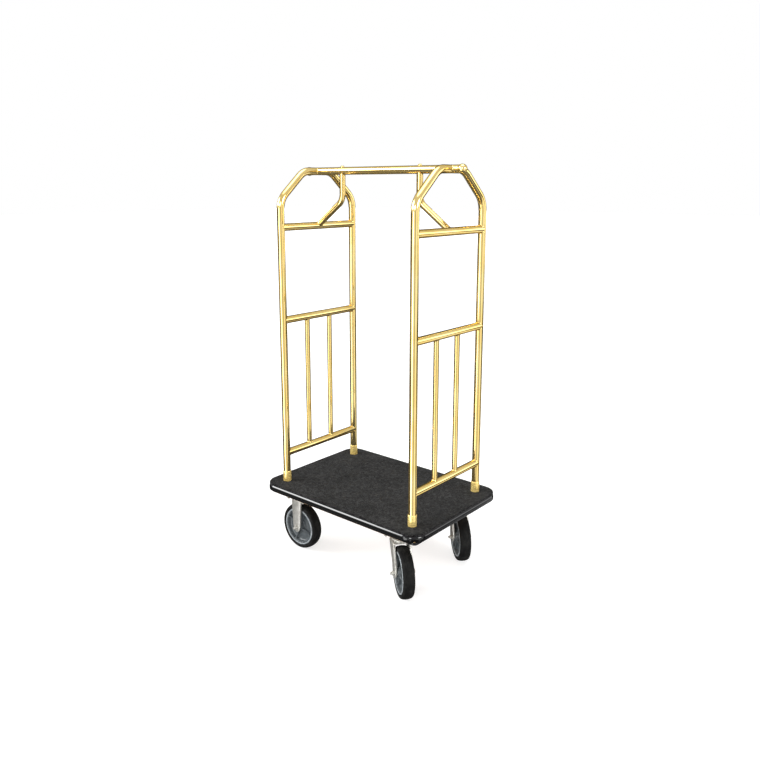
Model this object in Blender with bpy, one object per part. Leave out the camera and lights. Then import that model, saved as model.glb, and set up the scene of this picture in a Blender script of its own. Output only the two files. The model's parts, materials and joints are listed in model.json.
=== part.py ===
"""Hotel luggage cart: two bent-tube end frames on a carpeted deck with four 8 inch casters.

Frame: +X along the cart (rigid casters at -X, swivel casters at +X), +Y across it, +Z up.
Z = 0 is the floor. Every size is in metres.
"""
import math

import bmesh
import bpy
from mathutils import Matrix, Vector

# ---------------------------------------------------------------- driving dimensions
GAP = 0.0003

WHEEL_R = 0.1016
WHEEL_W = 0.0472
HUB_R = 0.0825
HUB_W = 0.0430
WHEEL_SEGS = 24

RIGID_X = 0.280
SWIVEL_X = 0.277
CASTER_Y = 0.199
TRAIL = 0.055
NEAR_TURN = math.radians(-37.5)
FAR_TURN = math.radians(-41.5)

BOARD_BOTTOM = 0.262
BOARD_TOP = 0.293
DECK_TOP = 0.301
DECK_HALF_X = 0.424
DECK_HALF_Y = 0.295
DECK_CORNER = 0.066
BUMPER_THICK = 0.0077
BUMPER_LOW = 0.266
BUMPER_HIGH = 0.2926
BUMPER_JOINT_R = 0.018
LEDGE_H = 0.0095
CARPET_INSET = 0.0014

FRAME_X = 0.350
FRAME_Y = 0.218
TUBE_R = 0.015875
TUBE_WALL = 0.0015
TUBE_SIDES = 12
BEND_R = 0.085
BEND_SEGS = 4
LOWER_RAIL_Z = 0.428
MIDDLE_RAIL_Z = 1.018
CROSSBAR_Z = 1.409
LOWER_BEND_Z = 1.5205
TOP_Z = 1.6387
TOP_HALF_Y = 0.0813

BALUSTER_R = 0.0111
BALUSTER_Y = (-0.078, 0.060)
FERRULE_R = 0.0180
FERRULE_H = 0.045
PLUG_H = 0.025
LEG_BOLT_R = 0.005

RAIL_END_BALL_X = 0.4000
RAIL_END_BALL_R = 0.0185
BRACE_R = 0.0127
BRACE_X = 0.203
BRACE_BEND_Z = 1.517
BRACE_BEND_R = 0.055
NUT_R = 0.0082

CLEAT_X = 0.0555
CLEAT_Y = 0.247
CLEAT_BOTTOM = 0.2416
PLATE_X = 0.0545
PLATE_Y = 0.0475
PLATE_T = 0.006
PLATE_TOP = CLEAT_BOTTOM - GAP
FORK_HALF = 0.037
LEG_T = 0.004
LEG_END_R = 0.0198
CROWN_T = 0.005
AXLE_R = 0.005
KINGPIN_R = 0.008
COPE_GAP = 0.0006


# ---------------------------------------------------------------- helpers
def clear_scene():
    for obj in list(bpy.data.objects):
        bpy.data.objects.remove(obj, do_unlink=True)


def material(name, rgb, metallic, roughness):
    mat = bpy.data.materials.new(name)
    mat.use_nodes = True
    shader = mat.node_tree.nodes["Principled BSDF"]
    shader.inputs["Base Color"].default_value = (rgb[0], rgb[1], rgb[2], 1.0)
    shader.inputs["Metallic"].default_value = metallic
    shader.inputs["Roughness"].default_value = roughness
    mat.diffuse_color = (rgb[0], rgb[1], rgb[2], 1.0)
    return mat


def brass(name):
    return material(name, (0.80, 0.60, 0.27), 1.0, 0.24)


def steel(name):
    return material(name, (0.62, 0.61, 0.58), 1.0, 0.38)


def mesh_object(name, verts, faces, mat, smooth_angle=None, parent=None, origin=None):
    """A mesh object from points and faces; origin moves its pivot without moving the shape."""
    mesh = bpy.data.meshes.new(name)
    shift = Vector(origin) if origin else Vector((0.0, 0.0, 0.0))
    mesh.from_pydata([tuple(Vector(v) - shift) for v in verts], [], faces)
    bm = bmesh.new()
    bm.from_mesh(mesh)
    bmesh.ops.recalc_face_normals(bm, faces=bm.faces)
    bm.to_mesh(mesh)
    bm.free()
    mesh.update()
    obj = bpy.data.objects.new(name, mesh)
    bpy.context.scene.collection.objects.link(obj)
    obj.location = shift
    if mat:
        mesh.materials.append(mat)
    if smooth_angle:
        mesh.shade_smooth()
        mesh.set_sharp_from_angle(angle=math.radians(smooth_angle))
    if parent:
        obj.parent = parent
    return obj


def empty(name, location, turn=0.0, parent=None):
    obj = bpy.data.objects.new(name, None)
    bpy.context.scene.collection.objects.link(obj)
    obj.location = location
    obj.rotation_euler = (0.0, 0.0, turn)
    if parent:
        obj.parent = parent
    return obj


def ring_faces(a, b, n):
    """Quads between the ring of n points from index a and the one from index b."""
    faces = []
    for i in range(n):
        j = (i + 1) % n
        faces.append((a + i, a + j, b + j, b + i))
    return faces


def cope(point, direction, centre, axis, radius):
    """Move point along direction to the near side of a cylinder."""
    axis = axis.normalized()
    u = direction - axis * direction.dot(axis)
    w = point - centre
    w = w - axis * w.dot(axis)
    a = u.dot(u)
    b = 2.0 * u.dot(w)
    c = w.dot(w) - radius * radius
    root = math.sqrt(max(b * b - 4.0 * a * c, 0.0))
    return point + direction * ((-b - root) / (2.0 * a))


def round_corners(points, radius, segs):
    """Replace each inner corner of a 3-D polyline by an arc of the given radius."""
    out = [points[0]]
    for k in range(1, len(points) - 1):
        p = points[k]
        d0 = (points[k - 1] - p).normalized()
        d1 = (points[k + 1] - p).normalized()
        half = d0.angle(d1) / 2.0
        cut = radius / math.tan(half)
        centre = p + (d0 + d1).normalized() * (radius / math.sin(half))
        start = p + d0 * cut - centre
        axis = start.cross(p + d1 * cut - centre).normalized()
        sweep = math.pi - 2.0 * half
        for i in range(segs + 1):
            out.append(centre + Matrix.Rotation(sweep * i / segs, 3, axis) @ start)
    out.append(points[-1])
    return out


def path_rings(points, side, radii, sides):
    """Rings of points around a planar path; side is the unit normal of the path's plane."""
    rings = []
    last = len(points) - 1
    for k, p in enumerate(points):
        before = points[max(k - 1, 0)]
        after = points[min(k + 1, last)]
        into = (p - before).normalized() if k > 0 else (after - p).normalized()
        out = (after - p).normalized() if k < last else into
        tangent = (into + out).normalized()
        stretch = 1.0 / max(tangent.dot(into), 0.5)
        normal = side.cross(tangent).normalized()
        radius = radii[k]
        ring = []
        for i in range(sides):
            t = 2.0 * math.pi * (i + 0.5) / sides
            ring.append(p + side * (radius * math.cos(t)) + normal * (radius * stretch * math.sin(t)))
        rings.append(ring)
    return rings


def cope_ring(ring, direction, target):
    centre, axis, radius = target
    return [cope(p, direction, centre, axis, radius + COPE_GAP) for p in ring]


def tube(name, points, side, r_out, r_in, mat, start=None, end=None, plug=None, sides=TUBE_SIDES):
    """A hollow tube along a planar path, open at both ends.

    start and end are cylinders (centre, axis, radius) that the ends are coped to.
    plug is (height, bore): a solid plug with a bore inside both ends of the path.
    """
    outer = path_rings(points, side, [r_out] * len(points), sides)
    inner_points = list(points)
    radii = [r_in] * len(points)
    if plug:
        height, bore = plug
        up0 = (points[1] - points[0]).normalized()
        up1 = (points[-2] - points[-1]).normalized()
        top0 = points[0] + up0 * height
        top1 = points[-1] + up1 * height
        inner_points = [points[0], top0, top0 + up0 * 0.0005] + inner_points[1:-1]
        inner_points += [top1 + up1 * 0.0005, top1, points[-1]]
        radii = [bore, bore, r_in] + [r_in] * (len(points) - 2) + [r_in, bore, bore]
    inner = path_rings(inner_points, side, radii, sides)
    first = (points[0] - points[1]).normalized()
    last = (points[-1] - points[-2]).normalized()
    if start:
        outer[0] = cope_ring([p - first * 0.05 for p in outer[0]], first, start)
        inner[0] = cope_ring([p - first * 0.05 for p in inner[0]], first, start)
    if end:
        outer[-1] = cope_ring([p - last * 0.05 for p in outer[-1]], last, end)
        inner[-1] = cope_ring([p - last * 0.05 for p in inner[-1]], last, end)
    verts = [p for ring in outer for p in ring] + [p for ring in inner for p in ring]
    faces = []
    n_out = len(outer)
    n_in = len(inner)
    base = n_out * sides
    for k in range(n_out - 1):
        faces += ring_faces(k * sides, (k + 1) * sides, sides)
    for k in range(n_in - 1):
        faces += ring_faces(base + (k + 1) * sides, base + k * sides, sides)
    faces += ring_faces(base, 0, sides)
    faces += ring_faces((n_out - 1) * sides, base + (n_in - 1) * sides, sides)
    return mesh_object(name, verts, faces, mat, 40)


def lathe(name, profile, segs, axis, centre, mat, closed, phase=0.5, parent=None, cope_to=None):
    """Turn a profile of (radius, height) about an axis through centre.

    closed joins the last point to the first (a ring); otherwise both ends are capped flat.
    cope_to lists (profile index, cylinder): those rings are moved onto the cylinder.
    """
    axis = Vector(axis).normalized()
    u = axis.orthogonal().normalized()
    if abs(axis.z) > 0.9:
        u = Vector((1.0, 0.0, 0.0))
    elif abs(axis.y) > 0.9:
        u = Vector((0.0, 0.0, -1.0))
    else:
        u = Vector((0.0, 0.0, 1.0))
    v = axis.cross(u)
    centre = Vector(centre)
    rings = []
    for radius, height in profile:
        ring = []
        for i in range(segs):
            t = 2.0 * math.pi * (i + phase) / segs
            ring.append(centre + axis * height + u * (radius * math.cos(t)) + v * (radius * math.sin(t)))
        rings.append(ring)
    for index, direction, target in cope_to or []:
        start = [p - direction * 0.05 for p in rings[index]]
        rings[index] = cope_ring(start, direction, target)
    verts = [p for ring in rings for p in ring]
    faces = []
    for k in range(len(rings) - 1):
        faces += ring_faces(k * segs, (k + 1) * segs, segs)
    if closed:
        faces += ring_faces((len(rings) - 1) * segs, 0, segs)
    else:
        faces.append(tuple(reversed(range(segs))))
        faces.append(tuple(range((len(rings) - 1) * segs, len(rings) * segs)))
    return mesh_object(name, verts, faces, mat, 35, parent, tuple(centre))


def prism(name, outline, low, high, axis, mat, parent=None):
    """Extrude a 2-D outline: along Z for axis 'Z', or along Y (outline in X, Z) for axis 'Y'."""
    n = len(outline)
    verts = []
    for level in (low, high):
        for a, b in outline:
            verts.append((a, b, level) if axis == "Z" else (a, level, b))
    faces = ring_faces(0, n, n)
    faces.append(tuple(reversed(range(n))))
    faces.append(tuple(range(n, 2 * n)))
    return mesh_object(name, verts, faces, mat, None, parent)


def rounded_rect(half_x, half_y, radius, segs=6, last_radius=None):
    """Rounded rectangle; last_radius gives the +X -Y corner its own radius."""
    out = []
    last = radius if last_radius is None else last_radius
    corners = ((1, 1, 0.0, radius), (-1, 1, 0.5, radius), (-1, -1, 1.0, radius), (1, -1, 1.5, last))
    for sx, sy, turn, r in corners:
        cx = sx * (half_x - r)
        cy = sy * (half_y - r)
        for i in range(segs + 1):
            t = math.pi * (turn + 0.5 * i / segs)
            out.append((cx + r * math.cos(t), cy + r * math.sin(t)))
    return out


def hull2d(points):
    """Convex outline of 2-D points, anticlockwise."""
    pts = sorted(set(points))

    def half(seq):
        line = []
        for p in seq:
            while len(line) > 1:
                a = line[-2]
                b = line[-1]
                if (b[0] - a[0]) * (p[1] - a[1]) - (b[1] - a[1]) * (p[0] - a[0]) > 1e-12:
                    break
                line.pop()
            line.append(p)
        return line[:-1]

    return half(pts) + half(list(reversed(pts)))


def boolean(target, tool, operation):
    mod = target.modifiers.new(operation.lower() + "_" + tool.name, "BOOLEAN")
    mod.operation = operation
    mod.solver = "EXACT"
    mod.object = tool
    tool.hide_render = True
    tool.display_type = "WIRE"


def cutter(name, radius, low, high, axis, centre, segs=12, parent=None):
    profile = [(radius, low), (radius, high)]
    return lathe(name, profile, segs, axis, centre, None, False, 0.5, parent)


# ---------------------------------------------------------------- end frames
def end_frame(side_name, x):
    side = Vector((1.0, 0.0, 0.0))
    foot = BOARD_TOP + GAP
    bore = LEG_BOLT_R + GAP
    corners = [Vector((x, -FRAME_Y, foot)), Vector((x, -FRAME_Y, LOWER_BEND_Z)),
               Vector((x, -TOP_HALF_Y, TOP_Z)), Vector((x, TOP_HALF_Y, TOP_Z)),
               Vector((x, FRAME_Y, LOWER_BEND_Z)), Vector((x, FRAME_Y, foot))]
    path = round_corners(corners, BEND_R, BEND_SEGS)
    tube(side_name + "_hoop", path, side, TUBE_R, TUBE_R - TUBE_WALL, brass(side_name + "_hoop"),
         plug=(PLUG_H, bore))
    up = Vector((0.0, 0.0, 1.0))
    near_leg = (Vector((x, -FRAME_Y, 0.0)), up, TUBE_R)
    far_leg = (Vector((x, FRAME_Y, 0.0)), up, TUBE_R)
    heights = (("_crossbar", CROSSBAR_Z), ("_middle_rail", MIDDLE_RAIL_Z), ("_lower_rail", LOWER_RAIL_Z))
    for piece, z in heights:
        ends = [Vector((x, -FRAME_Y, z)), Vector((x, FRAME_Y, z))]
        tube(side_name + piece, ends, side, TUBE_R, TUBE_R - TUBE_WALL, brass(side_name + piece),
             near_leg, far_leg)
    across = Vector((0.0, 1.0, 0.0))
    low_rail = (Vector((x, 0.0, LOWER_RAIL_Z)), across, TUBE_R)
    mid_rail = (Vector((x, 0.0, MIDDLE_RAIL_Z)), across, TUBE_R)
    for label, y in (("near", BALUSTER_Y[0]), ("far", BALUSTER_Y[1])):
        name = side_name + "_baluster_" + label
        ends = [Vector((x, y, LOWER_RAIL_Z)), Vector((x, y, MIDDLE_RAIL_Z))]
        tube(name, ends, side, BALUSTER_R, BALUSTER_R - 0.0012, brass(name), low_rail, mid_rail)
    inner = TUBE_R + 0.0004
    base = BOARD_TOP + GAP - DECK_TOP
    profile = [(inner, base), (FERRULE_R, base), (FERRULE_R, FERRULE_H - 0.0015),
               (FERRULE_R - 0.0010, FERRULE_H), (inner, FERRULE_H)]
    for label, y in (("near", -FRAME_Y), ("far", FRAME_Y)):
        name = side_name + "_ferrule_" + label
        lathe(name, profile, TUBE_SIDES, (0, 0, 1), (x, y, DECK_TOP), brass(name), True)


def leg_bolt(name, x, y):
    """Hex bolt with its washer, up through the board into the plug of a hoop leg."""
    top = BOARD_TOP + 0.020 - BOARD_BOTTOM
    profile = [(0.0088, -0.0085), (0.0088, -0.0020), (0.0120, -0.0018), (0.0120, -GAP),
               (LEG_BOLT_R, -GAP), (LEG_BOLT_R, top)]
    lathe(name, profile, 12, (0, 0, 1), (x, y, BOARD_BOTTOM), steel(name), False)


# ---------------------------------------------------------------- hanging rail and braces
def rail_parts():
    across = Vector((0.0, 1.0, 0.0))
    left_hoop = (Vector((-FRAME_X, 0.0, TOP_Z)), across, TUBE_R)
    right_hoop = (Vector((FRAME_X, 0.0, TOP_Z)), across, TUBE_R)
    ends = [Vector((-FRAME_X, 0.0, TOP_Z)), Vector((FRAME_X, 0.0, TOP_Z))]
    tube("hanging_rail", ends, across, TUBE_R, TUBE_R - TUBE_WALL, brass("hanging_rail"),
         left_hoop, right_hoop)
    for name, sign, hoop in (("left_rail_end", -1.0, left_hoop), ("right_rail_end", 1.0, right_hoop)):
        reach = RAIL_END_BALL_X - FRAME_X
        ball = RAIL_END_BALL_R
        profile = [(0.0135, reach - 0.022), (0.0135, 0.0), (TUBE_R, 0.0), (TUBE_R, reach - 0.0150),
                   (0.0135, reach - 0.0130)]
        for i in range(1, 8):
            t = math.radians(45.0 + 19.0 * (i - 1))
            profile.append((ball * math.sin(t), reach - ball * math.cos(t)))
        inward = Vector((-sign, 0.0, 0.0))
        lathe(name, profile, 12, (sign, 0, 0), (sign * FRAME_X, 0.0, TOP_Z), brass(name), False,
              cope_to=[(1, inward, hoop), (2, inward, hoop)])


def brace(side_name, sign):
    across = Vector((0.0, 1.0, 0.0))
    rail = (Vector((0.0, 0.0, TOP_Z)), Vector((1.0, 0.0, 0.0)), TUBE_R)
    bar = (Vector((sign * FRAME_X, 0.0, CROSSBAR_Z)), across, TUBE_R)
    corners = [Vector((sign * BRACE_X, 0.0, TOP_Z)), Vector((sign * BRACE_X, 0.0, BRACE_BEND_Z)),
               Vector((sign * FRAME_X, 0.0, CROSSBAR_Z))]
    path = round_corners(corners, BRACE_BEND_R, BEND_SEGS)
    tube(side_name + "_brace", path, across, BRACE_R, BRACE_R - 0.0014, brass(side_name + "_brace"),
         rail, bar)
    down = Vector((0.0, 0.0, -1.0))
    bore = 0.0042
    profile = [(bore, 0.0180), (bore, 0.0), (NUT_R, 0.0), (NUT_R, 0.0186), (NUT_R * 0.86, 0.0202),
               (NUT_R * 0.50, 0.0214), (NUT_R * 0.16, 0.0219)]
    name = side_name + "_brace_nut"
    lathe(name, profile, 12, (0, 0, 1), (sign * BRACE_X, 0.0, TOP_Z), brass(name), False,
          cope_to=[(1, down, rail), (2, down, rail)])


# ---------------------------------------------------------------- deck
def deck():
    half_x = DECK_HALF_X - BUMPER_THICK - GAP
    half_y = DECK_HALF_Y - BUMPER_THICK - GAP
    radius = DECK_CORNER - BUMPER_THICK - GAP
    outline = rounded_rect(half_x, half_y, radius)
    board_mat = material("deck_board", (0.50, 0.36, 0.22), 0.0, 0.62)
    carpet_mat = material("deck_carpet", (0.055, 0.055, 0.057), 0.0, 0.95)
    bumper_mat = material("deck_bumper", (0.012, 0.012, 0.013), 0.0, 0.20)
    board = prism("deck_board", outline, BOARD_BOTTOM, BOARD_TOP, "Z", board_mat)
    for tag, x in (("l", -RIGID_X), ("r", SWIVEL_X)):
        rect = [(x - CLEAT_X, -CLEAT_Y), (x + CLEAT_X, -CLEAT_Y),
                (x + CLEAT_X, CLEAT_Y), (x - CLEAT_X, CLEAT_Y)]
        cleat = prism("tool_cleat_" + tag, rect, CLEAT_BOTTOM, BOARD_BOTTOM + 0.004, "Z", None)
        boolean(board, cleat, "UNION")
    edge = [(0.0, BOARD_TOP + GAP), (0.0, DECK_TOP - 0.0050), (0.0016, DECK_TOP - 0.0018),
            (0.0050, DECK_TOP)]
    verts = []
    for extra, z in edge:
        inset = CARPET_INSET + extra
        ring = rounded_rect(DECK_HALF_X - inset, DECK_HALF_Y - inset, DECK_CORNER - inset)
        verts += [(a, b, z) for a, b in ring]
    n = len(verts) // len(edge)
    faces = [tuple(reversed(range(n))), tuple(range((len(edge) - 1) * n, len(edge) * n))]
    for k in range(len(edge) - 1):
        faces += ring_faces(k * n, (k + 1) * n, n)
    carpet = mesh_object("deck_carpet", verts, faces, carpet_mat, 40)
    for sx in (-1, 1):
        for sy in (-1, 1):
            tag = ("l" if sx < 0 else "r") + ("n" if sy < 0 else "f")
            spot = (sx * FRAME_X, sy * FRAME_Y, BOARD_BOTTOM)
            bolt_hole = cutter("cut_bolt_" + tag, LEG_BOLT_R + 0.0005, -0.01, 0.05, (0, 0, 1), spot)
            boolean(board, bolt_hole, "DIFFERENCE")
            leg_hole = cutter("cut_leg_" + tag, FERRULE_R + 0.0008, 0.02, 0.06, (0, 0, 1), spot, 24)
            boolean(carpet, leg_hole, "DIFFERENCE")
            side = "left" if sx < 0 else "right"
            end = "near" if sy < 0 else "far"
            leg_bolt(side + "_leg_bolt_" + end, spot[0], spot[1])
    inner = BUMPER_THICK
    ledge = BUMPER_LOW + LEDGE_H
    sections = [(inner, BUMPER_LOW), (0.0035, BUMPER_LOW), (0.0, BUMPER_LOW + 0.004), (0.0, ledge),
                (0.0003, ledge + 0.0012), (0.0, BUMPER_HIGH - 0.005), (0.0030, BUMPER_HIGH - 0.0008),
                (inner, BUMPER_HIGH)]
    verts = []
    for inset, z in sections:
        pointed = inset != inner and z < ledge + 0.0001
        joint = BUMPER_JOINT_R - inset if pointed else DECK_CORNER - inset
        ring = rounded_rect(DECK_HALF_X - inset, DECK_HALF_Y - inset, DECK_CORNER - inset, 6, joint)
        verts += [(a, b, z) for a, b in ring]
    n = len(verts) // len(sections)
    faces = []
    for k in range(len(sections)):
        faces += ring_faces(k * n, ((k + 1) % len(sections)) * n, n)
    mesh_object("deck_bumper", verts, faces, bumper_mat, 40)


# ---------------------------------------------------------------- casters
def wheel(prefix, centre, parent):
    """Hub and tyre about the Y axis of the parent; flat facet at the bottom."""
    grow = 1.0 / math.cos(math.pi / WHEEL_SEGS)
    half = HUB_W / 2.0
    bore = 0.0091
    hub_profile = [(bore, -0.0275), (0.0215, -0.0275), (0.0240, -0.0060), (0.0735, -0.0060),
                   (0.0750, -half), (HUB_R, -half), (HUB_R, half), (0.0750, half),
                   (0.0735, 0.0060), (0.0240, 0.0060), (0.0215, 0.0275), (bore, 0.0275)]
    tyre_half = WHEEL_W / 2.0
    inner = HUB_R + GAP
    side = [(inner, 0.0212), (0.0880, tyre_half), (0.0960, tyre_half - 0.0012), (0.0993, 0.0172),
            (WHEEL_R, 0.0104)]
    tyre_profile = [(r, -h) for r, h in side] + [(r, h) for r, h in reversed(side)]
    hub_mat = material(prefix + "_hub", (0.30, 0.32, 0.33), 0.0, 0.45)
    tyre_mat = material(prefix + "_tyre", (0.016, 0.016, 0.017), 0.0, 0.60)
    hub_profile = [(r * grow, h) for r, h in hub_profile]
    tyre_profile = [(r * grow, h) for r, h in tyre_profile]
    lathe(prefix + "_hub", hub_profile, WHEEL_SEGS, (0, 1, 0), centre, hub_mat, True, 0.5, parent)
    lathe(prefix + "_tyre", tyre_profile, WHEEL_SEGS, (0, 1, 0), centre, tyre_mat, True, 0.5, parent)


def axle_parts(prefix, centre, parent):
    """Bushing between the fork legs, the bolt through them and its nut."""
    inside = FORK_HALF - LEG_T
    sleeve = [(AXLE_R + GAP, -inside + GAP), (0.0085, -inside + GAP), (0.0085, inside - GAP),
              (AXLE_R + GAP, inside - GAP)]
    lathe(prefix + "_bushing", sleeve, 12, (0, 1, 0), centre, steel(prefix + "_bushing"), True, 0.5, parent)
    out = FORK_HALF + GAP
    head = [(0.0088, out + 0.0085), (0.0095, out + 0.0070), (0.0095, out + 0.0016),
            (0.0115, out + 0.0015), (0.0115, out), (AXLE_R, out), (AXLE_R, -out - 0.0160)]
    bolt_mat = steel(prefix + "_axle_bolt")
    lathe(prefix + "_axle_bolt", head, 12, (0, 1, 0), centre, bolt_mat, False, 0.5, parent)
    bore = AXLE_R + 0.0012
    nut = [(bore, -out), (0.0095, -out), (0.0095, -out - 0.0075), (0.0082, -out - 0.0095),
           (bore, -out - 0.0095)]
    lathe(prefix + "_axle_nut", nut, 6, (0, 1, 0), centre, steel(prefix + "_axle_nut"), True, 0.5, parent)


def circle_points(cx, cz, radius, count):
    out = []
    for i in range(count):
        t = 2.0 * math.pi * i / count
        out.append((cx + radius * math.cos(t), cz + radius * math.sin(t)))
    return out


def leg_outline(top_half, top_z, axle_x):
    spots = circle_points(axle_x, WHEEL_R, LEG_END_R, 16)
    spots += [(-top_half, top_z), (top_half, top_z)]
    return hull2d(spots)


def fork_body(name, top_half, crown_low, axle_x, mat, parent):
    """Crown with two legs and the axle holes, about the parent's Z axis."""
    outline = leg_outline(top_half, crown_low + 0.5 * CROWN_T, axle_x)
    rect = [(-top_half, -FORK_HALF - GAP), (top_half, -FORK_HALF - GAP),
            (top_half, FORK_HALF + GAP), (-top_half, FORK_HALF + GAP)]
    bigger = [(a * 1.06, b) for a, b in rect]
    body = prism(name, bigger, crown_low, crown_low + CROWN_T, "Z", mat, parent)
    inside = FORK_HALF - LEG_T
    for tag, low, high in (("a", -FORK_HALF, -inside), ("b", inside, FORK_HALF)):
        leg = prism("tool_" + name + "_" + tag, outline, low, high, "Y", None, parent)
        boolean(body, leg, "UNION")
    return body


def rigid_caster(prefix, x, y):
    base = empty(prefix + "_base", (x, y, 0.0))
    centre = (0.0, 0.0, WHEEL_R)
    crown_low = PLATE_TOP - PLATE_T - CROWN_T
    fork = fork_body(prefix + "_fork", 0.0275, crown_low, 0.0, steel(prefix + "_fork"), base)
    rect = [(-PLATE_X, -PLATE_Y), (PLATE_X, -PLATE_Y), (PLATE_X, PLATE_Y), (-PLATE_X, PLATE_Y)]
    plate_low = PLATE_TOP - PLATE_T - 0.0005
    plate = prism("tool_" + prefix + "_plate", rect, plate_low, PLATE_TOP, "Z", None, base)
    boolean(fork, plate, "UNION")
    hole = cutter("cut_" + prefix + "_axle", AXLE_R + GAP, -0.05, 0.05, (0, 1, 0), centre, 12, base)
    boolean(fork, hole, "DIFFERENCE")
    axle_parts(prefix, centre, base)
    spin = empty(prefix + "_wheel_axis", centre, 0.0, base)
    wheel(prefix, (0.0, 0.0, 0.0), spin)


def swivel_caster(prefix, x, y, turn):
    fixed = empty(prefix + "_seat", (x, y, 0.0))
    turning = empty(prefix + "_turning", (x, y, 0.0), turn)
    boss_low = PLATE_TOP - PLATE_T - 0.0107
    race_high = boss_low - GAP
    race_low = race_high - 0.005
    fork_high = race_low - 0.0005
    crown_high = fork_high - 0.0045
    crown_low = crown_high - CROWN_T
    hole_r = KINGPIN_R + 0.0004
    rect = [(-PLATE_X, -PLATE_Y), (PLATE_X, -PLATE_Y), (PLATE_X, PLATE_Y), (-PLATE_X, PLATE_Y)]
    plate_mat = steel(prefix + "_plate")
    plate = prism(prefix + "_plate", rect, PLATE_TOP - PLATE_T, PLATE_TOP, "Z", plate_mat, fixed)
    boss = cutter("tool_" + prefix + "_boss", 0.033, boss_low, PLATE_TOP - 0.003, (0, 0, 1),
                  (0, 0, 0), 20, fixed)
    boolean(plate, boss, "UNION")
    pin_hole = cutter("cut_" + prefix + "_pin", hole_r, 0.20, 0.28, (0, 0, 1), (0, 0, 0), 12, fixed)
    boolean(plate, pin_hole, "DIFFERENCE")
    ring = [(hole_r, race_low), (0.0355, race_low), (0.0370, race_low + 0.0025), (0.0355, race_high),
            (hole_r, race_high)]
    lathe(prefix + "_race", ring, 20, (0, 0, 1), (0, 0, 0), steel(prefix + "_race"), True, 0.5, fixed)
    pin = [(0.0110, crown_low - 0.0050), (0.0140, crown_low - 0.0036), (0.0140, crown_low - 0.0006),
           (KINGPIN_R, crown_low - 0.0006), (KINGPIN_R, PLATE_TOP - GAP)]
    lathe(prefix + "_kingpin", pin, 12, (0, 0, 1), (0, 0, 0), steel(prefix + "_kingpin"), False, 0.5, fixed)
    fork = fork_body(prefix + "_fork", 0.035, crown_low, TRAIL, steel(prefix + "_fork"), turning)
    collar = cutter("tool_" + prefix + "_collar", 0.031, crown_low + 0.003, fork_high, (0, 0, 1),
                    (0, 0, 0), 20, turning)
    boolean(fork, collar, "UNION")
    seat = cutter("cut_" + prefix + "_seat", KINGPIN_R + 0.0006, 0.20, 0.28, (0, 0, 1),
                  (0, 0, 0), 12, turning)
    boolean(fork, seat, "DIFFERENCE")
    centre = (TRAIL, 0.0, WHEEL_R)
    hole = cutter("cut_" + prefix + "_axle", AXLE_R + GAP, -0.05, 0.05, (0, 1, 0), centre, 12, turning)
    boolean(fork, hole, "DIFFERENCE")
    axle_parts(prefix, centre, turning)
    spin = empty(prefix + "_wheel_axis", centre, 0.0, turning)
    wheel(prefix, (0.0, 0.0, 0.0), spin)


# ---------------------------------------------------------------- the cart
def build():
    clear_scene()
    end_frame("left", -FRAME_X)
    end_frame("right", FRAME_X)
    rail_parts()
    brace("left", -1.0)
    brace("right", 1.0)
    deck()
    rigid_caster("rigid_near", -RIGID_X, -CASTER_Y)
    rigid_caster("rigid_far", -RIGID_X, CASTER_Y)
    swivel_caster("swivel_near", SWIVEL_X, -CASTER_Y, NEAR_TURN)
    swivel_caster("swivel_far", SWIVEL_X, CASTER_Y, FAR_TURN)
    bpy.context.view_layer.update()


build()
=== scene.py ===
import json
import math

import bmesh
import bpy
from mathutils import Matrix, Vector, noise


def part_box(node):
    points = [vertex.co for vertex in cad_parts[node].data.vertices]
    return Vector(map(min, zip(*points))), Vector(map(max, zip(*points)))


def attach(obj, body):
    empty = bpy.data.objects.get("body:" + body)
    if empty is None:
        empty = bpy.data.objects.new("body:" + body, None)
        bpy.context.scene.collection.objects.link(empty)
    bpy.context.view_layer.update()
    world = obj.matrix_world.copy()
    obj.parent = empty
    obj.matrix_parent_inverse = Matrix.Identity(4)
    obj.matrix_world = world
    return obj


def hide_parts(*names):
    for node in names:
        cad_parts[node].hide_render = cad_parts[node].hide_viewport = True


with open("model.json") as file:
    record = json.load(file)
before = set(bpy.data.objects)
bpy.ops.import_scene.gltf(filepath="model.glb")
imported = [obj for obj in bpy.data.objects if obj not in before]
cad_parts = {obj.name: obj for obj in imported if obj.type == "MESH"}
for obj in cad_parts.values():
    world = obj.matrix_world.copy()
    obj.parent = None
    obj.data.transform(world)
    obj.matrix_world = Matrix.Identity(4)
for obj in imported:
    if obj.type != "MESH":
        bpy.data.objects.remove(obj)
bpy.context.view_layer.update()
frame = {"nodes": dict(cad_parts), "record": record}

JOINTS = {j["name"]: j for j in frame["record"]["behaviour"]["joints"]}
X_AXIS = Vector((1.0, 0.0, 0.0))
Y_AXIS = Vector((0.0, 1.0, 0.0))
Z_AXIS = Vector((0.0, 0.0, 1.0))
ORIGIN = Vector((0.0, 0.0, 0.0))


def middle(node):
    """The middle of a CAD node's box."""
    low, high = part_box(node)
    return (low + high) / 2.0


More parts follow.
